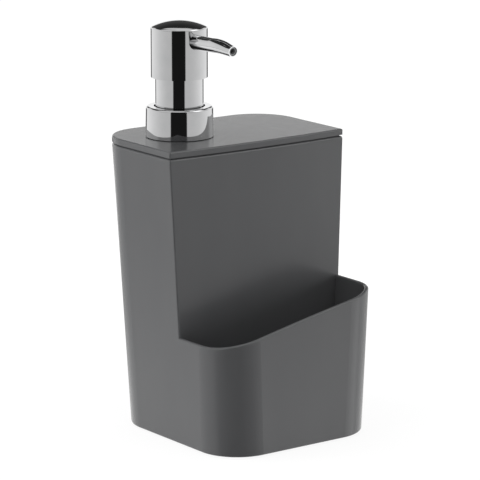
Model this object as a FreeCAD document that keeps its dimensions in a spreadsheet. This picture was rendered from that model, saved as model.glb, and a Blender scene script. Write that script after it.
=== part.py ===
import FreeCAD, Part
import math
import os
import re
import Sketcher

# Soap pump caddy: a tapered soap tank with a sponge tray moulded on its front,
# a lid plate with a screw neck, and a bright metal lotion pump with a domed head.
# +X runs right along the front, +Y to the back, +Z up. The origin is under the
# middle of the object, on the surface that its feet stand on.

doc = FreeCAD.newDocument("soap_pump_caddy")
sheet = doc.addObject("Spreadsheet::Sheet", "Sizes")

# Driving sizes in millimetres. A name that ends in share is a slope or a fraction.
SIZES = {
    # Body: tank and tray in one moulding
    "body_width": 100.0,
    "body_depth": 98.0,
    "tank_depth": 61.1,
    "tank_height": 135.05,
    "wall": 2.0,
    "floor_thick": 2.4,
    "side_draft_share": 0.0438,
    "back_draft_share": 0.0406,
    "front_draft_share": 0.016,
    "tray_lean_share": 0.0111,
    "back_corner": 21.0,
    "tray_corner": 20.4,
    "front_bow": 1.7,
    "rim_low": 51.5,
    "rim_high": 68.5,
    "rim_run_in": 1.0,
    "rim_run_out": 5.3,
    "rim_bulge": 0.75,
    "rim_blend": 14.0,
    "rim_round": 0.8,
    "top_round": 1.2,
    "base_round": 1.0,
    "floor_round": 3.0,
    # Feet
    "foot_stand": 0.6,
    "foot_thick": 1.4,
    "foot_radius": 4.4,
    "foot_clear": 0.1,
    "foot_inset": 13.5,
    "foot_chamfer": 0.25,
    # Lid
    "rim_gap": 0.6,
    "lid_thick": 2.8,
    "lid_round": 0.8,
    "land_inset": 1.3,
    "skirt_deep": 6.0,
    "skirt_thick": 1.6,
    "skirt_clear": 0.25,
    # Pump axis, from the lid's left side and front corners
    "pump_from_side": 27.5,
    "pump_from_front": 31.0,
    # Neck and its thread
    "neck_radius": 12.6,
    "neck_wall": 1.85,
    "neck_height": 10.0,
    "neck_chamfer": 0.5,
    "thread_rise": 1.1,
    "thread_root": 2.0,
    "thread_crest": 0.9,
    "thread_pitch": 4.23,
    "thread_turns": 1.5,
    "thread_clear": 0.3,
    "thread_sink": 0.3,
    "thread_start": 1.6,
    "insert_turns": 1.2,
    # Collar
    "collar_gap": 0.3,
    "collar_height": 14.1,
    "collar_base_radius": 15.9,
    "collar_top_radius": 15.6,
    "collar_round": 1.0,
    "collar_skin": 0.7,
    "collar_hole_gap": 0.75,
    "insert_lift": 0.4,
    # Clearances in the pump
    "seat_clear": 0.05,
    "run_clear": 0.05,
    # Neck gasket and pump housing
    "gasket_thick": 1.0,
    "gasket_inset": 0.3,
    "flange_thick": 1.2,
    "flange_inset": 0.9,
    "shoulder_radius": 9.7,
    "housing_wall": 1.4,
    "plug_deep": 9.2,
    "bore_radius": 6.5,
    "spring_length": 24.0,
    "lip_thick": 0.8,
    "lip_grip": 0.2,
    "chamber_gap": 0.5,
    "chamber_deep": 5.5,
    "seat_deep": 1.5,
    "inlet_radius": 1.6,
    "inlet_long": 1.5,
    "housing_cone": 4.0,
    "socket_deep": 12.5,
    # Chaplet and chrome sleeve
    "hold_flange": 0.9,
    "ring_radius": 10.2,
    "catch_thick": 0.6,
    "catch_reach": 0.5,
    "guide_thick": 2.0,
    "cup_wall": 1.3,
    "sleeve_radius": 11.2,
    "sleeve_skin": 0.6,
    "sleeve_lap": 1.6,
    "chaplet_wall": 1.6,
    "chaplet_drop": 1.0,
    # Plunger
    "stem_radius": 4.0,
    "stem_bore": 2.0,
    "spigot_radius": 3.2,
    "piston_height": 7.0,
    "piston_lip": 1.6,
    "piston_relief": 0.6,
    "retainer_radius": 5.8,
    "retainer_thick": 2.0,
    "retainer_plug": 3.2,
    "retainer_bore": 1.2,
    "outlet_ball": 1.6,
    "inlet_ball": 2.5,
    "spring_mean": 4.9,
    "spring_wire": 0.55,
    "spring_turns": 7.0,
    # Dip tube
    "tube_radius": 2.8,
    "tube_bore": 1.9,
    "tube_stand": 3.5,
    # Head
    "head_stand": 13.55,
    "head_height": 26.4,
    "head_radius": 13.2,
    "head_wall": 1.0,
    "head_round": 1.0,
    "dome_radius": 30.5,
    "stroke": 12.0,
    "press_clear": 0.6,
    "boss_radius": 6.0,
    "boss_drop": 2.6,
    "stem_seat": 3.6,
    # Spout
    "spout_up": 17.2,
    "spout_rise_share": 0.029,
    "spout_fall_share": 0.11,
    "spout_bend": 31.8,
    "spout_tip": 42.1,
    "spout_root_radius": 3.4,
    "spout_bend_radius": 3.3,
    "spout_tip_radius": 2.55,
    "spout_bore": 2.1,
    "spout_seat": 2.5,
    "bend_half": 1.4,
    "liner_bore": 1.35,
    "liner_clear": 0.1,
    "liner_deep": 6.0,
    "liner_short": 0.4,
}

# Sizes that follow from the driving ones. In the pump, heights count from the lid's top.
DERIVED = {
    "half_width": "body_width / 2",
    "half_depth": "body_depth / 2",
    "tank_front": "half_depth - tank_depth",
    "tank_top": "foot_stand + tank_height",
    "lid_low": "tank_top + rim_gap",
    "lid_top": "lid_low + lid_thick",
    "pump_x": "pump_from_side - half_width",
    "pump_y": "tank_front + pump_from_front",
    "rim_low_z": "foot_stand + rim_low",
    "rim_high_z": "foot_stand + rim_high",
    "floor_z": "foot_stand + floor_thick",
    "over": "body_depth",
    "tray_round": "min(tray_corner; body_depth - tank_depth - wall - floor_round)",
    "neck_bore": "neck_radius - neck_wall",
    "thread_crest_radius": "neck_radius + thread_rise",
    "collar_top": "collar_gap + collar_height",
    "collar_under": "collar_top - collar_skin",
    "collar_lean": "(collar_base_radius - collar_top_radius) / collar_height",
    "collar_hole": "sleeve_radius + collar_hole_gap",
    "flange_low": "neck_height + gasket_thick",
    "flange_top": "flange_low + flange_thick",
    "hold_low": "flange_top + run_clear",
    "hold_top": "hold_low + hold_flange",
    "catch_low": "hold_top + run_clear",
    "catch_top": "catch_low + catch_thick",
    "catch_radius": "sleeve_radius + catch_reach",
    "counterbore": "shoulder_radius - housing_wall",
    "plug_low": "flange_top - plug_deep",
    "housing_radius": "bore_radius + housing_wall",
    "piston_top": "plug_low - run_clear",
    "shoulder_low": "plug_low - housing_wall",
    "thread_bore": "thread_crest_radius + thread_clear",
    "flange_radius": "thread_crest_radius - flange_inset",
    "hold_bore": "ring_radius + thread_clear",
    "catch_recess": "catch_radius + thread_clear",
    "insert_low": "collar_gap + insert_lift",
    "insert_base": "collar_base_radius - collar_skin - seat_clear - collar_lean * insert_lift",
    "insert_top": "collar_top_radius - collar_skin - seat_clear",
    "plug_radius": "counterbore - seat_clear",
    "cup_bore": "plug_radius - cup_wall",
    "post_radius": "sleeve_bore - seat_clear",
    "post_bore": "post_radius - chaplet_wall",
    "post_top": "sleeve_top - chaplet_drop",
    "stem_hole": "stem_radius + run_clear",
    "socket_bore": "tube_radius + seat_clear",
    "socket_radius": "socket_bore + housing_wall",
    "lip_radius": "inlet_ball - lip_grip",
    "piston_lip_radius": "bore_radius - run_clear",
    "piston_low": "piston_top - piston_height",
    "retainer_top": "piston_low - run_clear",
    "retainer_low": "retainer_top - retainer_thick",
    "spring_low": "retainer_low - spring_length",
    "chamber_radius": "inlet_ball + chamber_gap",
    "chamber_top": "spring_low - lip_thick",
    "chamber_low": "chamber_top - chamber_deep",
    "seat_low": "chamber_low - seat_deep",
    "socket_top": "seat_low - inlet_long",
    "socket_low": "socket_top - socket_deep",
    "seat_run": "chamber_radius - inlet_radius",
    "seat_slant": "sqrt(seat_run * seat_run + seat_deep * seat_deep)",
    "inlet_ball_z": "seat_low"
                    " + ((inlet_ball + run_clear) * seat_slant - inlet_radius * seat_deep) / seat_run",
    "outlet_ball_z": "retainer_top + retainer_plug + run_clear"
                     " + sqrt(outlet_ball * outlet_ball - retainer_bore * retainer_bore)",
    "head_low": "collar_top + head_stand",
    "head_top": "head_low + head_height",
    "dome_centre": "head_top - dome_radius",
    "dome_edge": "dome_centre + sqrt(dome_radius * dome_radius - head_radius * head_radius)",
    "cap_radius": "head_radius - head_wall",
    "cap_dome": "dome_radius - head_wall",
    "cap_edge": "dome_centre + sqrt(cap_dome * cap_dome - cap_radius * cap_radius)",
    "core_radius": "cap_radius - seat_clear",
    "core_dome": "cap_dome - seat_clear",
    "core_edge": "dome_centre + sqrt(core_dome * core_dome - core_radius * core_radius)",
    "sleeve_top": "head_low + sleeve_lap",
    "sleeve_bore": "sleeve_radius - sleeve_skin",
    "core_low": "sleeve_top + stroke + press_clear",
    "boss_low": "core_low - boss_drop",
    "spout_z": "head_low + spout_up",
    "stem_top": "boss_low + stem_seat",
    "channel_top": "spout_z + liner_bore",
    "tube_low": "floor_z + tube_stand - lid_top",
    "spout_root": "core_radius - spout_seat",
    "liner_radius": "spout_bore - liner_clear",
}


def write_sheet():
    """Fills the sheet with one row for each driving size."""
    for row, (name, value) in enumerate(SIZES.items(), start=1):
        sheet.set(f"A{row}", name)
        sheet.set(f"B{row}", str(value))
        sheet.setAlias(f"B{row}", name)
    doc.recompute()


def bound(text):
    """The text as an expression of the sheet, with derived names opened."""
    def swap(match):
        word = match.group(0)
        if word in DERIVED:
            return "(" + bound(DERIVED[word]) + ")"
        if word in SIZES:
            return "Sizes." + word
        return word
    return re.sub(r"[a-z][a-z_0-9]*", swap, str(text))


def value(text):
    """The number that the expression gives now."""
    found = sheet.evalExpression(bound(text))
    return float(getattr(found, "Value", found))


def point(across, up):
    return FreeCAD.Vector(value(across), value(up), 0)


def new_body(name, at=None):
    """A body with its label, placed at three expressions."""
    made = doc.addObject("PartDesign::Body", name)
    made.Label = name
    for axis, text in zip("xyz", at or ()):
        made.setExpression(f"Placement.Base.{axis}", bound(text))
    return made


def new_sketch(body, name, role, lift=None, shift=None, across=None, tilt=None):
    """A sketch on one of the body's own origin planes, moved along its axes and tilted."""
    made = body.newObject("Sketcher::SketchObject", name)
    plane = [item for item in body.Origin.OriginFeatures if item.Role == role][0]
    made.AttachmentSupport = [(plane, "")]
    made.MapMode = "FlatFace"
    if tilt is not None:
        turn = FreeCAD.Rotation(FreeCAD.Vector(1, 0, 0), value(tilt))
        made.AttachmentOffset = FreeCAD.Placement(FreeCAD.Vector(), turn)
        made.setExpression("AttachmentOffset.Rotation.Angle", bound(tilt))
    if lift is not None:
        made.setExpression("AttachmentOffset.Base.z", bound(lift))
    if shift is not None:
        made.setExpression("AttachmentOffset.Base.y", bound(shift))
    if across is not None:
        made.setExpression("AttachmentOffset.Base.x", bound(across))
    return made


def arc_between(start, end, radius):
    """The short arc from start to end. A positive radius turns left, a negative one right."""
    chord = end - start
    half = chord.Length / 2
    side = FreeCAD.Vector(-chord.y, chord.x, 0).normalize()
    reach = math.sqrt(radius * radius - half * half)
    centre = start + chord * 0.5 + side * math.copysign(reach, radius)
    circle = Part.Circle(centre, FreeCAD.Vector(0, 0, 1), abs(radius))
    first, last = (start, end) if radius > 0 else (end, start)
    angle_first = math.atan2(first.y - centre.y, first.x - centre.x)
    angle_last = math.atan2(last.y - centre.y, last.x - centre.x)
    if angle_last <= angle_first:
        angle_last += 2 * math.pi
    return Part.ArcOfCircle(circle, angle_first, angle_last)


def draw_loop(made, corners):
    """Draws a closed loop. A corner is (across, up), and (across, up, radius) starts an arc."""
    ends = [point(corner[0], corner[1]) for corner in corners]
    first = made.GeometryCount
    shapes = []
    heads = []
    for index, corner in enumerate(corners):
        start = ends[index]
        end = ends[(index + 1) % len(ends)]
        if len(corner) == 2:
            shapes.append(Part.LineSegment(start, end))
            heads.append((1, 2))
        else:
            radius = value(corner[2])
            shapes.append(arc_between(start, end, radius))
            heads.append((1, 2) if radius > 0 else (2, 1))
    made.addGeometry(shapes, False)
    for index, corner in enumerate(corners):
        here = first + index
        after = (index + 1) % len(corners)
        joined = Sketcher.Constraint("Coincident", here, heads[index][1], first + after, heads[after][0])
        made.addConstraint(joined)
    for index, corner in enumerate(corners):
        here = first + index
        start = ends[index]
        bind(made, Sketcher.Constraint("DistanceX", -1, 1, here, heads[index][0], start.x), corner[0])
        bind(made, Sketcher.Constraint("DistanceY", -1, 1, here, heads[index][0], start.y), corner[1])
        if len(corner) > 2:
            size = corner[2] if value(corner[2]) > 0 else f"-({corner[2]})"
            bind(made, Sketcher.Constraint("Radius", here, value(size)), size)


def draw_circle(made, across, up, radius):
    """Draws a circle whose centre and radius are bound."""
    circle = Part.Circle(point(across, up), FreeCAD.Vector(0, 0, 1), value(radius))
    here = made.addGeometry(circle, False)
    bind(made, Sketcher.Constraint("DistanceX", -1, 1, here, 3, value(across)), across)
    bind(made, Sketcher.Constraint("DistanceY", -1, 1, here, 3, value(up)), up)
    bind(made, Sketcher.Constraint("Radius", here, value(radius)), radius)


def bind(made, constraint, text):
    """Adds a constraint and binds its value to the expression."""
    index = made.addConstraint(constraint)
    name = f"size_{index}"
    made.renameConstraint(index, name)
    made.setExpression(f"Constraints.{name}", bound(text))


def feature(body, kind, name, **settings):
    """Adds a feature. Text settings that end in _size are bound as expressions."""
    made = body.newObject("PartDesign::" + kind, name)
    for key, setting in settings.items():
        if key.endswith("_size"):
            made.setExpression(key[:-5], bound(setting))
        else:
            setattr(made, key, setting)
    doc.recompute()
    return made


def near(first, second, slack="run_clear"):
    return abs(first - second) < value(slack)


def edges_of(body, wanted):
    """Names of the edges of the body's tip for which wanted(edge) holds."""
    found = enumerate(body.Tip.Shape.Edges, start=1)
    return [f"Edge{index}" for index, edge in found if wanted(edge)]


def dress(body, kind, name, wanted, size):
    """A fillet or chamfer on the chosen edges of the body's tip."""
    chosen = edges_of(body, wanted)
    if not chosen:
        raise RuntimeError(f"{name}: no edge found")
    key = "Radius_size" if kind == "Fillet" else "Size_size"
    return feature(body, kind, name, Base=(body.Tip, chosen), **{key: size})


def turned(name, corners, at=("pump_x", "pump_y", "lid_top")):
    """A body turned about the pump axis from a profile of (radius, height) corners."""
    made = new_body(name, at)
    outline = new_sketch(made, name + "_profile", "XZ_Plane")
    draw_loop(outline, corners)
    feature(made, "Revolution", name + "_turn", Profile=outline,
            ReferenceAxis=(outline, ["V_Axis"]), Angle=360.0)
    return made


# Outline of the tank and lid seen from above, at a height above the tray's base

def side_at(height):
    return f"(half_width - side_draft_share * (tank_top - ({height})))"


def back_at(height):
    return f"(half_depth - back_draft_share * (tank_top - ({height})))"


def front_at(height):
    return f"(tank_front - front_draft_share * (tank_top - ({height})))"


def tray_front_at(height):
    return f"(tray_lean_share * (rim_high_z - ({height})) - half_depth)"


def bow_radius(half_chord):
    return f"(({half_chord}) * ({half_chord}) / (2 * front_bow) + front_bow / 2)"


def tank_outline(height, inset="0"):
    """Corners of the tank's section: bowed front, sharp front corners, round back corners."""
    side = f"({side_at(height)} - ({inset}))"
    back = f"({back_at(height)} - ({inset}))"
    front = f"({front_at(height)} + ({inset}))"
    corner = f"(back_corner - ({inset}))"
    return [
        (f"-{side}", front, bow_radius(side)),
        (side, front),
        (side, f"{back} - {corner}", corner),
        (f"{side} - {corner}", back),
        (f"{corner} - {side}", back, corner),
        (f"-{side}", f"{back} - {corner}"),
    ]


def tray_outline(height, inset, end):
    """Corners of the tray's section: round front corners, square end inside the tank."""
    side = f"({side_at(height)} - ({inset}))"
    front = f"({tray_front_at(height)} + ({inset}))"
    corner = f"(tray_round - ({inset}))"
    return [
        (f"-{side}", end),
        (f"-{side}", f"{front} + {corner}", corner),
        (f"{corner} - {side}", front),
        (f"{side} - {corner}", front, corner),
        (side, f"{front} + {corner}"),
        (side, end),
    ]


def loft(body, kind, name, levels, outline):
    """A straight-sided loft between the outline at two heights."""
    rings = []
    for index, level in enumerate(levels):
        ring = new_sketch(body, f"{name}_{index}", "XY_Plane", lift=level)
        draw_loop(ring, outline(level))
        rings.append(ring)
    doc.recompute()
    return feature(body, kind, name, Profile=rings[0], Sections=rings[1:], Ruled=True)


def make_tank_block():
    """The tank as a full block, before it is hollowed."""
    body = new_body("tank_block")
    front_view = new_sketch(body, "tank_front_view", "XZ_Plane")
    low = side_at("foot_stand")
    draw_loop(front_view, [
        (f"-{low}", "foot_stand"),
        (low, "foot_stand"),
        ("half_width", "tank_top"),
        ("-half_width", "tank_top"),
    ])
    feature(body, "Pad", "tank_pad", Profile=front_view, Midplane=True, Length_size="body_depth + over")
    back_view = new_sketch(body, "tank_back_draft", "YZ_Plane")
    draw_loop(back_view, [
        (back_at("foot_stand - over"), "foot_stand - over"),
        ("body_depth + over", "foot_stand - over"),
        ("body_depth + over", "tank_top + over"),
        (back_at("tank_top + over"), "tank_top + over"),
    ])
    feature(body, "Pocket", "tank_back_cut", Profile=back_view, Midplane=True, Type="ThroughAll")
    bow = new_sketch(body, "tank_bow", "XY_Plane", lift="tank_top", tilt="-atan(front_draft_share)")
    draw_loop(bow, [
        ("-half_width", "tank_front", bow_radius("half_width")),
        ("half_width", "tank_front"),
        ("body_width", "tank_front"),
        ("body_width", "-body_depth - over"),
        ("-body_width", "-body_depth - over"),
        ("-body_width", "tank_front"),
    ])
    feature(body, "Pocket", "tank_bow_cut", Profile=bow, Midplane=True, Type="ThroughAll")
    top = value("tank_top")
    low_z = value("foot_stand")

    def upright(edge):
        box = edge.BoundBox
        return near(box.ZMax, top) and near(box.ZMin, low_z)

    dress(body, "Fillet", "tank_back_corners",
          lambda edge: upright(edge) and edge.BoundBox.YMin > 0, "back_corner")
    return body


def rim_corners():
    """The tray's rim from right to left: level, a bulging slope with blended ends, level."""
    left = side_at("rim_low_z")
    right = side_at("rim_high_z")
    low_x = f"(wall + rim_run_in - {left})"
    high_x = f"({right} - rim_run_out)"
    run = f"({high_x} - {low_x})"
    rise = "(rim_high_z - rim_low_z)"
    chord = f"sqrt({run} * {run} + {rise} * {rise})"
    big = f"({chord} * {chord} / (8 * rim_bulge) + rim_bulge / 2)"
    centre_x = f"(({low_x} + {high_x}) / 2 + {rise} * ({big} - rim_bulge) / {chord})"
    centre_z = f"((rim_low_z + rim_high_z) / 2 - {run} * ({big} - rim_bulge) / {chord})"

    def blend(level, reach):
        """Where a blend arc leaves the level line, and where it meets the slope's arc."""
        start_z = f"({level} + {reach} - {big})"
        drop = f"({start_z} - {centre_z})"
        start_x = f"({centre_x} - sqrt({reach} * {reach} - {drop} * {drop}))"
        meet_x = f"({centre_x} + ({start_x} - {centre_x}) * {big} / {reach})"
        meet_z = f"({centre_z} + {drop} * {big} / {reach})"
        return start_x, meet_x, meet_z

    high_start, high_meet, high_z = blend("rim_high_z", f"({big} - rim_blend)")
    low_start, low_meet, low_z = blend("rim_low_z", f"({big} + rim_blend)")
    return [
        (right, "rim_high_z"),
        (high_start, "rim_high_z", "rim_blend"),
        (high_meet, high_z, big),
        (low_meet, low_z, "-rim_blend"),
        (low_start, "rim_low_z"),
        (f"-{left}", "rim_low_z"),
    ]


def make_body_shell():
    """Tank and sponge tray in one moulding."""
    tank = make_tank_block()
    body = new_body("body_shell")
    front_view = new_sketch(body, "tray_front_view", "XZ_Plane")
    low = side_at("foot_stand")
    draw_loop(front_view, [(f"-{low}", "foot_stand"), (low, "foot_stand")] + rim_corners())
    feature(body, "Pad", "tray_pad", Profile=front_view, Length_size="body_depth")
    lean = new_sketch(body, "tray_lean", "YZ_Plane")
    draw_loop(lean, [
        (tray_front_at("foot_stand - over"), "foot_stand - over"),
        (tray_front_at("rim_high_z + over"), "rim_high_z + over"),
        ("-body_depth - over", "rim_high_z + over"),
        ("-body_depth - over", "foot_stand - over"),
    ])
    feature(body, "Pocket", "tray_front_cut", Profile=lean, Midplane=True, Type="ThroughAll")

    front = value("wall - half_depth")

    def tray_corner_edge(edge):
        box = edge.BoundBox
        return box.YMax < front and box.ZLength > value("rim_low") / 2

    dress(body, "Fillet", "tray_corners", tray_corner_edge, "tray_round")
    loft(body, "SubtractiveLoft", "tray_space", ["floor_z", "rim_high_z + wall"],
         lambda height: tray_outline(height, "wall", "wall"))
    feature(body, "Boolean", "with_tank", Type="Fuse", Group=[tank])
    loft(body, "SubtractiveLoft", "tank_space", ["floor_z", "tank_top + wall"],
         lambda height: tank_outline(height, "wall"))
    round_shell_edges(body)
    sockets = new_sketch(body, "foot_sockets", "XY_Plane")
    for across, along in foot_places():
        draw_circle(sockets, across, along, "foot_radius + foot_clear")
    feature(body, "Pocket", "foot_pockets", Profile=sockets, Reversed=True, Length_size="foot_thick")
    return body


# How much of a level face's normal points up at least
LEVEL_SHARE = 0.94


def round_shell_edges(body):
    """Rounds the tray's rim, the tank's front and top edges, the base and both floors."""
    slack = value("run_clear")
    low = value("rim_low_z") - slack
    high = value("rim_high_z") + slack
    top = value("tank_top")
    tray_line = value(front_at("rim_low_z")) - value("wall")

    def rim_or_front(edge):
        box = edge.BoundBox
        if box.ZMax > high:
            upright = near(box.ZMax, top) and box.ZMin > low
            return upright and not near(box.ZMin, top) and box.YMax < value("tank_front + wall")
        if box.ZMin < low or box.YMin > tray_line:
            return False
        beside = body.Tip.Shape.ancestorsOfType(edge, Part.Face)
        return len([face for face in beside if faces_up(face)]) == 1

    def tank_rim(edge):
        box = edge.BoundBox
        if not (near(box.ZMin, top) and near(box.ZMax, top)):
            return False
        reach = max(abs(box.XMin), abs(box.XMax))
        outside = value("half_width - wall / 2")
        return reach > outside or box.YMax > value("half_depth - wall / 2") or box.YMin < value("tank_front")

    base = value("foot_stand")
    floor = value("floor_z")
    dress(body, "Fillet", "rim_rounds", rim_or_front, "rim_round")
    dress(body, "Fillet", "tank_rim_round", tank_rim, "top_round")
    dress(body, "Fillet", "base_edge_round", lambda edge: near(edge.BoundBox.ZMax, base), "base_round")
    dress(body, "Fillet", "floor_rounds",
          lambda edge: near(edge.BoundBox.ZMin, floor) and near(edge.BoundBox.ZMax, floor), "floor_round")


def faces_up(face):
    """Whether the middle of the face looks nearly straight up."""
    first, last, low, high = face.ParameterRange
    normal = face.normalAt((first + last) / 2, (low + high) / 2)
    return normal.z > LEVEL_SHARE


def foot_places():
    """Centres of the four feet, in from the corners of the base."""
    side = f"({side_at('foot_stand')} - foot_inset)"
    front = f"({tray_front_at('foot_stand')} + foot_inset)"
    back = f"({back_at('foot_stand')} - foot_inset)"
    return [(f"-{side}", front), (side, front), (f"-{side}", back), (side, back)]


def make_feet():
    """Four soft pads, set into the base and standing a little proud."""
    names = ["foot_front_left", "foot_front_right", "foot_back_left", "foot_back_right"]
    feet = []
    for name, (across, along) in zip(names, foot_places()):
        body = new_body(name, (across, along, "0"))
        disc = new_sketch(body, name + "_disc", "XY_Plane")
        draw_circle(disc, "0", "0", "foot_radius")
        feature(body, "Pad", name + "_pad", Profile=disc, Length_size="foot_thick")
        dress(body, "Chamfer", name + "_edge", lambda edge: near(edge.BoundBox.ZMax, 0), "foot_chamfer")
        feet.append(body)
    return feet


def make_thread(body, name, root, crest, start, turns, lift=None, across=None):
    """A helical thread: a tapered rib from root to crest radius, wound about the sketch's upright axis."""
    rib = new_sketch(body, name + "_rib", "XZ_Plane", lift=lift, across=across)
    draw_loop(rib, [
        (root, f"{start} - thread_root / 2"),
        (crest, f"{start} - thread_crest / 2"),
        (crest, f"{start} + thread_crest / 2"),
        (root, f"{start} + thread_root / 2"),
    ])
    feature(body, "AdditiveHelix", name, Profile=rib, ReferenceAxis=(rib, ["V_Axis"]),
            Mode="pitch-turns-angle", Pitch_size="thread_pitch", Turns_size=turns)


def make_lid():
    """Lid plate with a raised screw neck, a land that rests on the rim and a locating skirt."""
    body = new_body("lid")
    plate = new_sketch(body, "lid_plate", "XY_Plane", lift="lid_low")
    draw_loop(plate, tank_outline("tank_top"))
    feature(body, "Pad", "lid_pad", Profile=plate, Length_size="lid_thick")
    low = value("lid_low")
    top = value("lid_top")

    def front_corner(edge):
        box = edge.BoundBox
        return near(box.ZMin, low) and near(box.ZMax, top) and box.YMax < 0

    dress(body, "Fillet", "lid_corners", front_corner, "rim_round")
    dress(body, "Fillet", "lid_top_round", lambda edge: near(edge.BoundBox.ZMin, top), "lid_round")
    land = new_sketch(body, "lid_land", "XY_Plane", lift="lid_low")
    draw_loop(land, tank_outline("tank_top", "land_inset"))
    feature(body, "Pad", "lid_land_pad", Profile=land, Reversed=True, Length_size="rim_gap")
    skirt_low = "tank_top - skirt_deep"
    loft(body, "AdditiveLoft", "lid_skirt", [skirt_low, "tank_top"],
         lambda height: tank_outline(height, "wall + skirt_clear"))
    loft(body, "SubtractiveLoft", "lid_hollow", [f"{skirt_low} - wall", "lid_low"],
         lambda height: tank_outline(height, "wall + skirt_clear + skirt_thick"))
    neck = new_sketch(body, "neck_ring", "XY_Plane", lift="lid_top")
    draw_circle(neck, "pump_x", "pump_y", "neck_radius")
    feature(body, "Pad", "neck_pad", Profile=neck, Length_size="neck_height")
    neck_top = value("lid_top + neck_height")
    dress(body, "Chamfer", "neck_edge", lambda edge: near(edge.BoundBox.ZMin, neck_top), "neck_chamfer")
    make_thread(body, "neck_thread", "neck_radius - thread_sink", "thread_crest_radius",
                "(lid_top + thread_start)", "thread_turns", lift="-pump_y", across="pump_x")
    bore = new_sketch(body, "neck_bore", "XY_Plane", lift="lid_top + neck_height")
    draw_circle(bore, "pump_x", "pump_y", "neck_bore")
    feature(body, "Pocket", "neck_bore_cut", Profile=bore, Type="ThroughAll")
    return body


def make_collar():
    """Bright collar cover and the threaded insert inside it."""
    shell = turned("collar_shell", [
        ("collar_base_radius - collar_skin", "collar_gap"),
        ("collar_base_radius", "collar_gap"),
        ("collar_top_radius", "collar_top"),
        ("collar_hole", "collar_top"),
        ("collar_hole", "collar_under"),
        ("collar_top_radius - collar_skin", "collar_under"),
    ])
    top = value("collar_top")
    edge_reach = value("collar_top_radius") - value("seat_clear")
    dress(shell, "Fillet", "collar_round_edge",
          lambda edge: near(edge.BoundBox.ZMin, top) and edge.BoundBox.XMax > edge_reach, "collar_round")
    insert = turned("collar_insert", [
        ("thread_bore", "insert_low"),
        ("insert_base", "insert_low"),
        ("insert_top", "collar_under"),
        ("catch_recess", "collar_under"),
        ("catch_recess", "hold_top"),
        ("hold_bore", "hold_top"),
        ("hold_bore", "hold_low"),
        ("thread_bore", "hold_low"),
    ])
    make_thread(insert, "collar_thread", "thread_bore + thread_sink", "thread_bore - thread_rise",
                "(thread_start + thread_pitch / 2)", "insert_turns")
    return [shell, insert]


def make_pump():
    """What hangs in the neck: gasket, housing, chaplet, sleeve, inlet ball and dip tube."""
    gasket = turned("neck_gasket", [
        ("neck_bore + gasket_inset", "neck_height"),
        ("neck_radius", "neck_height"),
        ("neck_radius", "flange_low"),
        ("neck_bore + gasket_inset", "flange_low"),
    ])
    housing = turned("pump_housing", [
        ("counterbore", "flange_top"),
        ("counterbore", "plug_low"),
        ("bore_radius", "plug_low"),
        ("bore_radius", "spring_low"),
        ("lip_radius", "spring_low"),
        ("lip_radius", "chamber_top"),
        ("chamber_radius", "chamber_top"),
        ("chamber_radius", "chamber_low"),
        ("inlet_radius", "seat_low"),
        ("inlet_radius", "socket_top"),
        ("socket_bore", "socket_top"),
        ("socket_bore", "socket_low"),
        ("socket_radius", "socket_low"),
        ("socket_radius", "chamber_top - housing_cone"),
        ("housing_radius", "chamber_top"),
        ("housing_radius", "shoulder_low"),
        ("shoulder_radius", "plug_low"),
        ("shoulder_radius", "flange_low"),
        ("flange_radius", "flange_low"),
        ("flange_radius", "flange_top"),
    ])
    chaplet = turned("chaplet", [
        ("stem_hole", "plug_low"),
        ("plug_radius", "plug_low"),
        ("plug_radius", "flange_top"),
        ("ring_radius", "flange_top"),
        ("ring_radius", "catch_low"),
        ("catch_radius", "catch_low"),
        ("catch_radius", "catch_top"),
        ("post_radius", "catch_top"),
        ("post_radius", "post_top"),
        ("post_bore", "post_top"),
        ("post_bore", "catch_top"),
        ("cup_bore", "catch_top"),
        ("cup_bore", "plug_low + guide_thick"),
        ("stem_hole", "plug_low + guide_thick"),
    ])
    sleeve = turned("sleeve", [
        ("sleeve_bore", "catch_top"),
        ("sleeve_radius", "catch_top"),
        ("sleeve_radius", "sleeve_top"),
        ("sleeve_bore", "sleeve_top"),
    ])
    inlet = make_ball("inlet_ball_valve", "inlet_ball", "inlet_ball_z")
    tube = turned("dip_tube", [
        ("tube_bore", "tube_low"),
        ("tube_radius", "tube_low"),
        ("tube_radius", "socket_top"),
        ("tube_bore", "socket_top"),
    ])
    return [gasket, housing, chaplet, sleeve, inlet, tube]


def make_ball(name, radius, height):
    """A valve ball on the pump axis."""
    body = new_body(name, ("pump_x", "pump_y", f"lid_top + {height}"))
    feature(body, "AdditiveSphere", name + "_sphere", Radius_size=radius)
    return body


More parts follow.
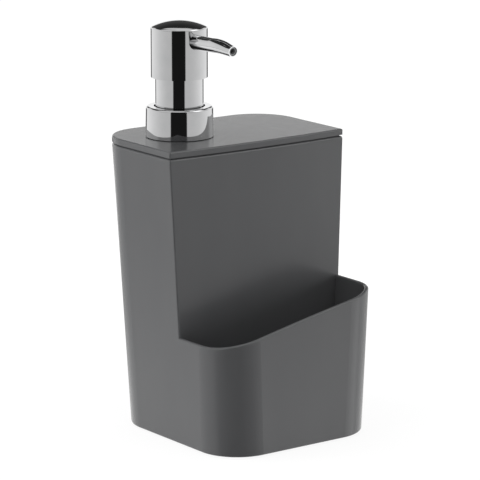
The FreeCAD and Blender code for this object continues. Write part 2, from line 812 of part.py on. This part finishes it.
def make_plunger():
    """Piston ring, stem, the retainer below it, outlet ball and return spring."""
    piston = turned("piston", [
        ("spigot_radius + run_clear", "piston_low"),
        ("piston_lip_radius", "piston_low"),
        ("piston_lip_radius", "piston_low + piston_lip"),
        ("piston_lip_radius - piston_relief", "piston_low + piston_lip"),
        ("piston_lip_radius - piston_relief", "piston_top - piston_lip"),
        ("piston_lip_radius", "piston_top - piston_lip"),
        ("piston_lip_radius", "piston_top"),
        ("spigot_radius + run_clear", "piston_top"),
    ])
    stem = turned("stem", [
        ("stem_bore", "retainer_top"),
        ("spigot_radius", "retainer_top"),
        ("spigot_radius", "piston_top + run_clear"),
        ("stem_radius", "piston_top + run_clear"),
        ("stem_radius", "stem_top"),
        ("stem_bore", "stem_top"),
    ])
    retainer = turned("piston_retainer", [
        ("retainer_bore", "retainer_low"),
        ("retainer_radius", "retainer_low"),
        ("retainer_radius", "retainer_top"),
        ("stem_bore - seat_clear", "retainer_top"),
        ("stem_bore - seat_clear", "retainer_top + retainer_plug"),
        ("retainer_bore", "retainer_top + retainer_plug"),
    ])
    outlet = make_ball("outlet_ball_valve", "outlet_ball", "outlet_ball_z")
    spring = new_body("return_spring", ("pump_x", "pump_y", "lid_top"))
    wire = new_sketch(spring, "spring_wire_section", "XZ_Plane")
    draw_circle(wire, "spring_mean", "spring_low + spring_wire", "spring_wire")
    rise = "(spring_length - 2 * spring_wire - run_clear)"
    feature(spring, "AdditiveHelix", "spring_coil", Profile=wire, ReferenceAxis=(wire, ["V_Axis"]),
            Mode="pitch-turns-angle", Pitch_size=f"{rise} / spring_turns", Turns_size="spring_turns")
    return [piston, stem, retainer, outlet, spring]


def spout_height(distance):
    """Height of the spout's centre line at a distance from the pump axis."""
    rising = f"(spout_z + spout_rise_share * ({distance}))"
    if value(f"{distance} - spout_bend") <= 0:
        return rising
    return (f"(spout_z + spout_rise_share * spout_bend"
            f" - spout_fall_share * ({distance} - spout_bend))")


def spout_radius(distance):
    """Outer radius of the spout at a distance from the pump axis: even to the bend, then tapered."""
    if value(f"{distance} - spout_bend") <= 0:
        return (f"(spout_root_radius + (spout_bend_radius - spout_root_radius)"
                f" * ({distance} - spout_root) / (spout_bend - spout_root))")
    return (f"(spout_bend_radius + (spout_tip_radius - spout_bend_radius)"
            f" * ({distance} - spout_bend) / (spout_tip - spout_bend))")


def spout_ring(body, name, distance, radius):
    """A circle across the spout's centre line, at a distance from the pump axis."""
    rising = value(f"{distance} - spout_bend") <= 0
    tilt = "-atan(spout_rise_share)" if rising else "atan(spout_fall_share)"
    ring = new_sketch(body, name, "XZ_Plane", lift=distance, shift=spout_height(distance), tilt=tilt)
    draw_circle(ring, "0", "0", radius)
    return ring


# Where the spout's rings stand along its long run and along its bent end
RUN_SHARES = [0.0, 0.2, 0.4, 0.6, 0.8, 1.0]
END_SHARES = [0.0, 0.5, 1.0]


def spout_loft(body, kind, name, first, last, radius):
    """A tube's surface along the spout, straight, bent near its end, then straight."""
    start, end = "(spout_bend - bend_half)", "(spout_bend + bend_half)"
    stops = [f"({first} + ({start} - ({first})) * {share})" for share in RUN_SHARES]
    stops += [f"({end} + ({last} - {end}) * {share})" for share in END_SHARES]
    rings = [spout_ring(body, f"{name}_{index}", stop, radius(stop)) for index, stop in enumerate(stops)]
    doc.recompute()
    return feature(body, kind, name, Profile=rings[0], Sections=rings[1:], Ruled=False)


def bore_along_spout(body, name, first, radius):
    """A straight bore from a distance along the spout's axis out through the side."""
    ring = spout_ring(body, name + "_ring", first, radius)
    feature(body, "Pocket", name, Profile=ring, Reversed=True, Length_size="head_radius")


def make_head():
    """Domed cap, the core inside it, the bent spout and the liner in the spout."""
    cap = turned("head_shell", [
        ("cap_radius", "head_low"),
        ("head_radius", "head_low"),
        ("head_radius", "dome_edge", "dome_radius"),
        ("0", "head_top"),
        ("0", "dome_centre + cap_dome", "-cap_dome"),
        ("cap_radius", "cap_edge"),
    ])
    rim = value("dome_edge")
    reach = value("head_radius") - value("seat_clear")
    dress(cap, "Fillet", "head_round_edge",
          lambda edge: near(edge.BoundBox.ZMin, rim) and edge.BoundBox.XMax > reach, "head_round")
    bore_along_spout(cap, "spout_hole", "spout_root", "spout_root_radius + seat_clear")
    core = turned("head_core", [
        ("stem_radius + seat_clear", "boss_low"),
        ("boss_radius", "boss_low"),
        ("boss_radius", "core_low"),
        ("core_radius", "core_low"),
        ("core_radius", "core_edge", "core_dome"),
        ("0", "dome_centre + core_dome"),
        ("0", "channel_top"),
        ("stem_bore", "channel_top"),
        ("stem_bore", "stem_top"),
        ("stem_radius + seat_clear", "stem_top"),
    ])
    bore_along_spout(core, "core_channel", "0", "liner_bore")
    bore_along_spout(core, "liner_socket", "liner_deep", "liner_radius + seat_clear")
    bore_along_spout(core, "spout_socket", "spout_root", "spout_root_radius + seat_clear")
    spout = new_body("spout", ("pump_x", "pump_y", "lid_top"))
    spout_loft(spout, "AdditiveLoft", "spout_outside", "spout_root", "spout_tip", spout_radius)
    spout_loft(spout, "SubtractiveLoft", "spout_inside", "spout_root", "spout_tip",
               lambda stop: "spout_bore")
    liner = new_body("spout_liner", ("pump_x", "pump_y", "lid_top"))
    spout_loft(liner, "AdditiveLoft", "liner_outside", "liner_deep", "spout_tip - liner_short",
               lambda stop: "liner_radius")
    spout_loft(liner, "SubtractiveLoft", "liner_inside", "liner_deep", "spout_tip - liner_short",
               lambda stop: "liner_bore")
    return [cap, core, spout, liner]


write_sheet()
pieces = [make_body_shell()] + make_feet() + [make_lid()] + make_collar()
pieces += make_pump() + make_plunger() + make_head()
doc.recompute()
for item in doc.Objects:
    if "Invalid" in item.State or "Error" in item.State:
        raise RuntimeError(f"{item.Name} failed: {item.State}")
for piece in pieces:
    if piece.Shape.isNull() or not piece.Shape.isValid():
        raise RuntimeError(f"{piece.Label} has no valid shape")
os.makedirs("parts", exist_ok=True)
for piece in pieces:
    piece.Shape.exportStep(f"parts/{piece.Label}.step")
    print(piece.Label, len(piece.Shape.Solids), round(piece.Shape.Volume, 1))
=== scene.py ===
import bpy
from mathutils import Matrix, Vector


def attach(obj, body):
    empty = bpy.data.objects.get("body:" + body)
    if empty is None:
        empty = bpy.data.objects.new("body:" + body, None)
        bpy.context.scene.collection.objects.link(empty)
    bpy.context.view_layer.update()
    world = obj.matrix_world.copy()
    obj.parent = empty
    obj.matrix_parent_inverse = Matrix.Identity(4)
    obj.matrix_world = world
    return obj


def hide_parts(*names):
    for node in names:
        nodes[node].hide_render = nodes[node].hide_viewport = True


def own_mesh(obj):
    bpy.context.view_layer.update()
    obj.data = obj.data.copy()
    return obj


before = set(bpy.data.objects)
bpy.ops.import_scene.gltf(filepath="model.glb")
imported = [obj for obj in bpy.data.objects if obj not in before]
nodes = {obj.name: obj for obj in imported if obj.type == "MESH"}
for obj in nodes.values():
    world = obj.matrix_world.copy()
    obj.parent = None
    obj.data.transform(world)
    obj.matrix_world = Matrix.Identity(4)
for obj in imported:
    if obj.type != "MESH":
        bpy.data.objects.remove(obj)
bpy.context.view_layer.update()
scene = bpy.context.scene
scene.view_settings.view_transform = "Standard"

# Lengths are in metres, colours and brightnesses are linear, and 1.0 is white

# Nearly all of a noise's values lie between these two
NOISE_LOW = 0.3
NOISE_HIGH = 0.7


# Nodes

def add_node(tree, kind, inputs):
    """A new node, with each input named in inputs set to a value or linked to a socket."""
    made = tree.nodes.new("ShaderNode" + kind)
    feed(tree, made, inputs)
    return made


def feed(tree, node, inputs):
    """Sets the node's inputs to values or links them to sockets."""
    for key, item in inputs.items():
        if isinstance(item, bpy.types.NodeSocket):
            tree.links.new(item, node.inputs[key])
        else:
            node.inputs[key].default_value = item


def maths(tree, operation, *items):
    """The result of a maths node on values or sockets."""
    made = add_node(tree, "Math", dict(enumerate(items)))
    made.operation = operation
    return made.outputs["Value"]


def object_place(tree):
    """The place on the object, in metres."""
    return add_node(tree, "TexCoord", {}).outputs["Object"]


def noise(tree, scale, detail=2.0, roughness=0.5, stretch=None):
    """Noise over the object, in cycles per metre; stretch squeezes it along an axis."""
    place = object_place(tree)
    if stretch:
        place = add_node(tree, "Mapping", {"Vector": place, "Scale": stretch}).outputs["Vector"]
    made = add_node(tree, "TexNoise", {"Vector": place, "Scale": scale, "Detail": detail,
                                       "Roughness": roughness})
    return made.outputs["Fac"]


def shades(tree, source, first, last, start=NOISE_LOW, end=NOISE_HIGH):
    """A colour that goes from first, with the source at start, to last, with it at end."""
    made = add_node(tree, "ValToRGB", {"Fac": source})
    for stop, position, colour in zip(made.color_ramp.elements, (start, end), (first, last)):
        stop.position = position
        stop.color = (*colour, 1.0)
    return made.outputs["Color"]


def spread(tree, source, low, high):
    """Maps a noise's values to low..high."""
    made = add_node(tree, "MapRange", {"Value": source, "From Min": NOISE_LOW, "From Max": NOISE_HIGH,
                                       "To Min": low, "To Max": high})
    return made.outputs["Result"]


def bump(tree, shader, height, distance, strength, after=None):
    """Gives the shader a bump of the given distance, on top of the bump named in after."""
    made = add_node(tree, "Bump", {"Height": height, "Distance": distance, "Strength": strength})
    if after is not None:
        feed(tree, made, {"Normal": after})
    feed(tree, shader, {"Normal": made.outputs["Normal"]})
    return made.outputs["Normal"]


# Materials

def new_material(name):
    """A material with its node tree and its Principled shader."""
    made = bpy.data.materials.new(name)
    made.use_nodes = True
    return made, made.node_tree, made.node_tree.nodes["Principled BSDF"]


def grey_plastic():
    """Satin moulded plastic: fine spark texture, faint flow shade and slightly uneven gloss."""
    made, tree, shader = new_material("grey_plastic")
    flow = noise(tree, scale=22.0, detail=3.0, roughness=0.55, stretch=(1.0, 1.0, 0.35))
    gloss = noise(tree, scale=260.0, detail=3.0)
    feed(tree, shader, {
        "Base Color": shades(tree, flow, (0.074, 0.075, 0.078), (0.083, 0.084, 0.086)),
        "Roughness": spread(tree, gloss, 0.2, 0.225),
        "IOR": 1.49,
    })
    wave = bump(tree, shader, noise(tree, scale=45.0, detail=1.0), distance=0.00002, strength=0.5)
    bump(tree, shader, noise(tree, scale=4200.0, roughness=0.6), distance=0.0000004, strength=0.2,
         after=wave)
    return made


def chrome():
    """Bright plating on moulded plastic: smooth, with a faint waviness and soft smears."""
    made, tree, shader = new_material("chrome")
    smear = noise(tree, scale=160.0, detail=3.0, roughness=0.6)
    feed(tree, shader, {
        "Base Color": shades(tree, smear, (0.60, 0.605, 0.61), (0.64, 0.64, 0.645)),
        "Metallic": 1.0,
        "Roughness": spread(tree, smear, 0.02, 0.05),
    })
    bump(tree, shader, noise(tree, scale=120.0, detail=1.0), distance=0.00001, strength=0.5)
    return made


def plain_plastic(name, dark, light, rough, more=None):
    """Moulded plastic inside the pump: two close shades, uneven gloss and a fine grain."""
    made, tree, shader = new_material(name)
    uneven = 0.05
    feed(tree, shader, {
        "Base Color": shades(tree, noise(tree, scale=260.0, detail=3.0), dark, light),
        "Roughness": spread(tree, noise(tree, scale=700.0), rough - uneven, rough + uneven),
        "IOR": 1.5,
    })
    feed(tree, shader, more or {})
    bump(tree, shader, noise(tree, scale=3800.0), distance=0.00001, strength=0.5)
    return made


def rubber(name, dark, light):
    """Soft rubber: matt, grainy, with a powdery sheen."""
    made, tree, shader = new_material(name)
    feed(tree, shader, {
        "Base Color": shades(tree, noise(tree, scale=900.0, detail=4.0), dark, light),
        "Roughness": spread(tree, noise(tree, scale=1500.0), 0.62, 0.78),
        "Sheen Weight": 0.25,
        "Sheen Roughness": 0.5,
    })
    bump(tree, shader, noise(tree, scale=4500.0, detail=3.0), distance=0.00004, strength=0.6)
    return made


def steel(name, dark, light, rough):
    """Drawn or ground stainless steel: metal with fine drawn marks."""
    made, tree, shader = new_material(name)
    marks = noise(tree, scale=2600.0, detail=4.0, roughness=0.6, stretch=(1.0, 1.0, 0.2))
    feed(tree, shader, {
        "Base Color": shades(tree, marks, dark, light),
        "Metallic": 1.0,
        "Roughness": spread(tree, marks, rough, rough + 0.12),
    })
    bump(tree, shader, marks, distance=0.000004, strength=0.5)
    return made


# Polyethylene of the dip tube and the piston lets some light through
MILKY = {"Transmission Weight": 0.35, "Subsurface Weight": 0.3, "Subsurface Scale": 0.0015}

LOOKS = {
    "grey_plastic": grey_plastic(),
    "chrome": chrome(),
    "dark_plastic": plain_plastic("dark_plastic", (0.016, 0.016, 0.017), (0.026, 0.026, 0.027), 0.35),
    "natural_plastic": plain_plastic("natural_plastic", (0.58, 0.585, 0.57), (0.66, 0.66, 0.645), 0.4),
    "tube_plastic": plain_plastic("tube_plastic", (0.55, 0.56, 0.57), (0.66, 0.67, 0.67), 0.36, MILKY),
    # The liner's grey is partly the ring face's own grey and partly painted shade, darker so that its
    # bore reads as a dark hole
    "liner_plastic_and_painted_shade": plain_plastic("liner_plastic_and_painted_shade", (0.2, 0.202, 0.205), (0.25, 0.252, 0.255), 0.4),
    "seal_rubber": rubber("seal_rubber", (0.05, 0.05, 0.052), (0.075, 0.075, 0.077)),
    "foot_rubber": rubber("foot_rubber", (0.045, 0.046, 0.047), (0.07, 0.071, 0.072)),
    "spring_steel": steel("spring_steel", (0.46, 0.46, 0.455), (0.6, 0.6, 0.59), 0.2),
    "valve_steel": steel("valve_steel", (0.56, 0.56, 0.56), (0.66, 0.66, 0.65), 0.08),
}

FINISHES = {
    "grey_plastic": ["body_shell", "lid"],
    "chrome": ["collar_shell", "sleeve", "head_shell", "spout"],
    "dark_plastic": ["collar_insert", "chaplet", "head_core"],
    "natural_plastic": ["pump_housing", "stem", "piston_retainer"],
    "tube_plastic": ["dip_tube", "piston"],
    "liner_plastic_and_painted_shade": ["spout_liner"],
    "seal_rubber": ["neck_gasket"],
    "foot_rubber": ["foot_front_left", "foot_front_right", "foot_back_left", "foot_back_right"],
    "spring_steel": ["return_spring"],
    "valve_steel": ["inlet_ball_valve", "outlet_ball_valve"],
}

for look, names in FINISHES.items():
    for name in names:
        for slot in nodes[name].material_slots:
            slot.material = LOOKS[look]


# The return spring as a piece of its own

def shortening_spring():
    """The return spring as an object of its own, which goes with the pump."""
    node = nodes["return_spring"]
    coil = bpy.data.objects.new("return_spring_coil", node.data.copy())
    coil.data.transform(node.matrix_world)
    coil.data.materials.clear()
    coil.data.materials.append(LOOKS["spring_steel"])
    scene.collection.objects.link(coil)
    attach(coil, "pump")
    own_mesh(coil)
    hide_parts("return_spring")


# Studio floor

# Paper that lights itself to the camera, so that only a trace of the object's shadow shows
FLOOR_REACH = 4.0
FLOOR_GLOW = 1.18
FLOOR_GLOW_SHARE = 0.86


def grey(level):
    return (level, level, level)


def floor_material():
    """Pale paper: white to the camera with a soft trace of the object's shadow, a painted pool of light
    in its colour and a painted shade in its glow, both near the object.
    """
    made, tree, shader = new_material("studio_floor")
    length = add_node(tree, "VectorMath", {0: object_place(tree)})
    length.operation = "LENGTH"
    distance = length.outputs["Value"]
    # Its colour is paler near the object: a painted pool of light, which the floor throws back onto the
    # object's low faces
    feed(tree, shader, {
        "Base Color": shades(tree, distance, grey(0.8), grey(0.36), start=0.12, end=0.6),
        "Roughness": 0.9,
        "Specular IOR Level": 0.0,
    })
    # Its glow is dimmer near the object: painted shade around the object
    glow = add_node(tree, "Emission", {
        "Color": shades(tree, distance, grey(0.89), grey(1.0), start=0.08, end=0.3),
        "Strength": FLOOR_GLOW,
    })
    seen = add_node(tree, "LightPath", {}).outputs["Is Camera Ray"]
    mix = add_node(tree, "MixShader", {0: maths(tree, "MULTIPLY", seen, FLOOR_GLOW_SHARE),
                                       1: shader.outputs["BSDF"],
                                       2: glow.outputs["Emission"]})
    feed(tree, tree.nodes["Material Output"], {"Surface": mix.outputs["Shader"]})
    return made


def make_floor():
    """A large sheet of paper at z = 0, which reflections don't show."""
    mesh = bpy.data.meshes.new("studio_floor")
    corners = [(FLOOR_REACH * x, FLOOR_REACH * y, 0) for x, y in ((-1, -1), (1, -1), (1, 1), (-1, 1))]
    mesh.from_pydata(corners, [], [(0, 1, 2, 3)])
    mesh.materials.append(floor_material())
    floor = bpy.data.objects.new("studio_floor", mesh)
    floor.visible_glossy = False
    scene.collection.objects.link(floor)


# Studio surround, which shows only in reflections

# Directions in plan: towards the camera, and to the right as the camera sees it
TOWARDS_CAMERA = Vector((-0.5948, -0.8039, 0.0))
TO_THE_RIGHT = Vector((0.8039, -0.5948, 0.0))
# Middle of the black flag that the pump's front shows
BLACK_FLAG = Vector((-0.6143, -0.7891, 0.0))
# Keep divisions by a length in plan from dividing by nothing
TINY = 0.0001
LEAST_AWAY = 0.001

# Walls
WALL_IN_FRONT = 0.68
WALL_BEHIND = 1.08
WALL_OVERHEAD = 0.78
BACKDROP_BELOW_HORIZON = 1.22
BACKDROP_ABOVE_HORIZON = 1.13
# Shares of the wall's brightness that are left further down
TOWARDS_FLOOR = 0.68
FRONT_FLOOR = 0.2
LEFT_BAND = 0.5
LEFT_FLOOR = 1.3
RIGHT_BAND = 0.66
RIGHT_FLOOR = 2.3
RIGHT_FLOOR_IN_FRONT = 0.85
# Share of it that is left in front of the object, a little above the horizon
DIM_IN_FRONT = 0.45
# Dark and bright things in the studio
DARK_EDGE = 0.12
SCREEN_FOOT = 0.085
SCREEN_TOP = 0.026
FLAG = 0.012
PANEL = 2.2
# The screen's upper limit, as a slope: its height straight behind, and its fall to the sides
SCREEN_HEIGHT = 1.27
SCREEN_FALL = 2.6
# What the world gives as light, and what the camera sees of it
FILL_LIGHT = 0.4
SEEN = 1.0


class Surround:
    """The studio around the object as a brightness for each direction of view.

    z is the direction's height, near and side are its parts in plan, facing and turn are the
    same two parts with the plan's length taken as 1.
    """

    def __init__(self, tree):
        self.tree = tree
        place = add_node(tree, "TexCoord", {}).outputs["Generated"]
        self.x, self.y, self.z = add_node(tree, "SeparateXYZ", {"Vector": place}).outputs
        self.flat = self.maths("SQRT", self.maths("ADD", self.product(self.x, self.x),
                                                  self.product(self.y, self.y)))
        self.near = self.along(TOWARDS_CAMERA)
        self.side = self.along(TO_THE_RIGHT)
        self.facing = self.in_plan(self.near)
        self.turn = self.in_plan(self.side)

    def maths(self, operation, *items):
        return maths(self.tree, operation, *items)

    def product(self, first, *others):
        for other in others:
            first = self.maths("MULTIPLY", first, other)
        return first

    def highest(self, first, *others):
        for other in others:
            first = self.maths("MAXIMUM", first, other)
        return first

    def along(self, direction):
        """The part of the direction of view that points along a direction in plan."""
        return self.maths("ADD", self.product(self.x, direction.x), self.product(self.y, direction.y))

    def in_plan(self, part):
        return self.maths("DIVIDE", part, self.maths("ADD", self.flat, TINY))

    def smooth(self, source, outside, inside):
        """0 at and beyond outside, 1 at and beyond inside, smooth between the two."""
        made = add_node(self.tree, "MapRange", {"Value": source, "From Min": outside,
                                                "From Max": inside})
        made.interpolation_type = "SMOOTHSTEP"
        return made.outputs["Result"]

    def zone(self, *steps):
        """1 where all the steps are 1; each step is what smooth takes."""
        return self.product(*[self.smooth(*step) for step in steps])

    def blend(self, share, first, second):
        """first where share is 0, second where it is 1."""
        return self.maths("ADD", self.product(first, self.maths("SUBTRACT", 1.0, share)),
                          self.product(second, share))

    def below_horizon(self, wall):
        """The wall below the horizon, with the zones that the tank and the tray reflect."""
        z, facing, turn = self.z, self.facing, self.turn
        smooth, zone, blend = self.smooth, self.zone, self.blend
        # On the left a dim band above a brighter floor
        left = blend(smooth(z, -0.21, -0.25), 1.0, blend(smooth(z, -0.265, -0.3), LEFT_BAND, LEFT_FLOOR))
        # On the right the same, with a floor that is brighter away from the camera
        right_floor = blend(smooth(facing, 0.45, 0.2), RIGHT_FLOOR_IN_FRONT, RIGHT_FLOOR)
        right = blend(smooth(z, -0.17, -0.205), 1.0, RIGHT_BAND)
        right = blend(smooth(z, -0.235, -0.27), right, right_floor)
        ground = blend(zone((turn, 0.6, 0.9), (facing, -0.4, -0.15)), left, right)
        # In front it is dark
        ground = blend(zone((facing, 0.5, 0.75), (z, -0.21, -0.27)), ground, FRONT_FLOOR)
        # The whole wall darkens towards the floor
        return self.product(wall, blend(smooth(z, -0.22, -0.65), 1.0, TOWARDS_FLOOR), ground)

    def above_horizon(self, wall, screen, drift):
        """The wall above the horizon, with the screen and the other things that the pump reflects."""
        z, near, side, facing, turn = self.z, self.near, self.side, self.facing, self.turn
        smooth, zone, blend = self.smooth, self.zone, self.blend
        tone = blend(smooth(z, 0.1, 0.65), wall, WALL_OVERHEAD)
        # A dark band to either side of the screen
        band = zone((z, 0.51, 0.55), (z, 0.76, 0.73), (drift, 0.42, 0.52), (facing, 0.0, -0.15))
        # A dark card high up behind on the left, with a slanting edge
        slant = self.maths("SUBTRACT", near, self.product(side, 0.9))
        card = zone((slant, -0.46, -0.41), (z, 0.7, 0.74), (side, -0.06, -0.11), (near, -0.2, -0.26))
        shade = blend(smooth(z, 0.2, 0.75), SCREEN_FOOT, SCREEN_TOP)
        tone = blend(self.highest(screen, card, band), tone, shade)
        # A little above the horizon it is dimmer in front, as the lid's reflection of the collar shows
        dim = blend(smooth(side, -0.05, 0.05), smooth(facing, 0.1, 0.35), smooth(facing, -0.65, -0.35))
        dim = self.product(dim, zone((z, 0.3, 0.22), (z, 0.06, 0.12)))
        tone = self.product(tone, blend(dim, 1.0, DIM_IN_FRONT))
        # A bright panel on the right
        panel = zone((z, 0.3, 0.42), (z, 0.8, 0.7), (turn, 0.78, 0.88), (facing, -0.25, -0.05))
        return blend(panel, tone, PANEL)

    def brightness(self):
        """All of the surround."""
        z, facing = self.z, self.facing
        smooth, zone, blend = self.smooth, self.zone, self.blend
        # Walls: mid grey in front, round to white at the back
        wall = blend(smooth(facing, 0.85, -1.0), WALL_IN_FRONT, WALL_BEHIND)
        # Dark edges behind the object, just below the horizon
        edge = zone((facing, -0.80, -0.89), (z, -0.085, -0.12), (z, -0.21, -0.192))
        low_tone = blend(edge, self.below_horizon(wall), DARK_EDGE)
        # A dark screen behind the object, which stands on a low white wall and is round at the top
        away = self.highest(self.product(self.near, -1.0), LEAST_AWAY)
        slope = self.maths("DIVIDE", z, away)
        drift = self.maths("ABSOLUTE", self.maths("DIVIDE", self.side, away))
        limit = self.maths("SUBTRACT", SCREEN_HEIGHT, self.product(SCREEN_FALL, drift, drift))
        screen = zone((self.maths("SUBTRACT", limit, slope), -0.06, 0.06), (z, 0.19, 0.225))
        high_tone = self.above_horizon(wall, screen, drift)
        reflected = blend(smooth(z, -0.03, 0.03), low_tone, high_tone)
        # A white backdrop straight behind the object, except where the screen and the edges are
        backdrop = zone((facing, -0.90, -0.95), (self.maths("ABSOLUTE", z), 0.26, 0.2))
        backdrop = self.product(backdrop, self.maths("SUBTRACT", 1.0, self.highest(edge, screen)))
        white = blend(smooth(z, 0.0, 0.06), BACKDROP_BELOW_HORIZON, BACKDROP_ABOVE_HORIZON)
        reflected = blend(backdrop, reflected, white)
        # A tall black flag in front
        flag = zone((self.in_plan(self.along(BLACK_FLAG)), 0.871, 0.899), (z, 0.66, 0.60))
        return blend(flag, reflected, FLAG)


def make_world():
    """White to the camera, dim for light, and the surround for reflections."""
    world = bpy.data.worlds.new("studio")
    scene.world = world
    world.use_nodes = True
    tree = world.node_tree
    surround = Surround(tree)
    paths = add_node(tree, "LightPath", {}).outputs
    unseen = surround.blend(paths["Is Glossy Ray"], FILL_LIGHT, surround.brightness())
    feed(tree, tree.nodes["Background"], {
        "Color": surround.blend(paths["Is Camera Ray"], unseen, SEEN),
        "Strength": 1.0,
    })


# Lamps and camera

# Name, place, target, width, height and power in watts
LAMPS = [
    ("left_key", (-0.8, 0.6, 0.42), (0.0, 0.0, 0.08), 0.7, 0.6, 7.0),
    ("left_low", (-0.9, -0.05, 0.35), (0.0, 0.0, 0.05), 0.4, 0.3, 1.9),
    ("overhead", (0.1, 0.2, 1.3), (0.0, 0.0, 0.1), 0.8, 0.8, 5.6),
    ("front_fill", (0.05, -0.8, 0.95), (0.0, 0.0, 0.1), 0.8, 0.6, 2.5),
    ("right_fill", (0.75, -0.6, 0.15), (0.0, 0.0, 0.04), 0.3, 0.3, 3.4),
]

CAMERA_PLACE = (-0.8094, -1.0920, 0.3947)
CAMERA_DIRECTION = (0.5803, 0.7844, -0.2189)
LENS_MM = 223.02
SENSOR_MM = 36.0
CLIP_START = 0.05
CLIP_END = 20.0


def place_and_aim(item, place, direction):
    """Puts a lamp or the camera in the scene, looking along a direction."""
    scene.collection.objects.link(item)
    item.location = place
    item.rotation_mode = "QUATERNION"
    item.rotation_quaternion = Vector(direction).to_track_quat("-Z", "Y")


def make_lamp(name, place, target, width, height, power):
    """A soft lamp that lights surfaces but shows in no reflection."""
    data = bpy.data.lights.new(name, "AREA")
    data.shape = "RECTANGLE"
    data.size = width
    data.size_y = height
    data.energy = power
    lamp = bpy.data.objects.new(name, data)
    lamp.visible_glossy = False
    lamp.visible_camera = False
    place_and_aim(lamp, place, Vector(target) - Vector(place))


def make_camera():
    """The camera as solved from the photograph."""
    data = bpy.data.cameras.new("camera")
    data.lens = LENS_MM
    data.sensor_width = SENSOR_MM
    data.clip_start = CLIP_START
    data.clip_end = CLIP_END
    camera = bpy.data.objects.new("camera", data)
    place_and_aim(camera, CAMERA_PLACE, CAMERA_DIRECTION)
    scene.camera = camera


shortening_spring()
make_floor()
make_world()
for lamp in LAMPS:
    make_lamp(*lamp)
make_camera()
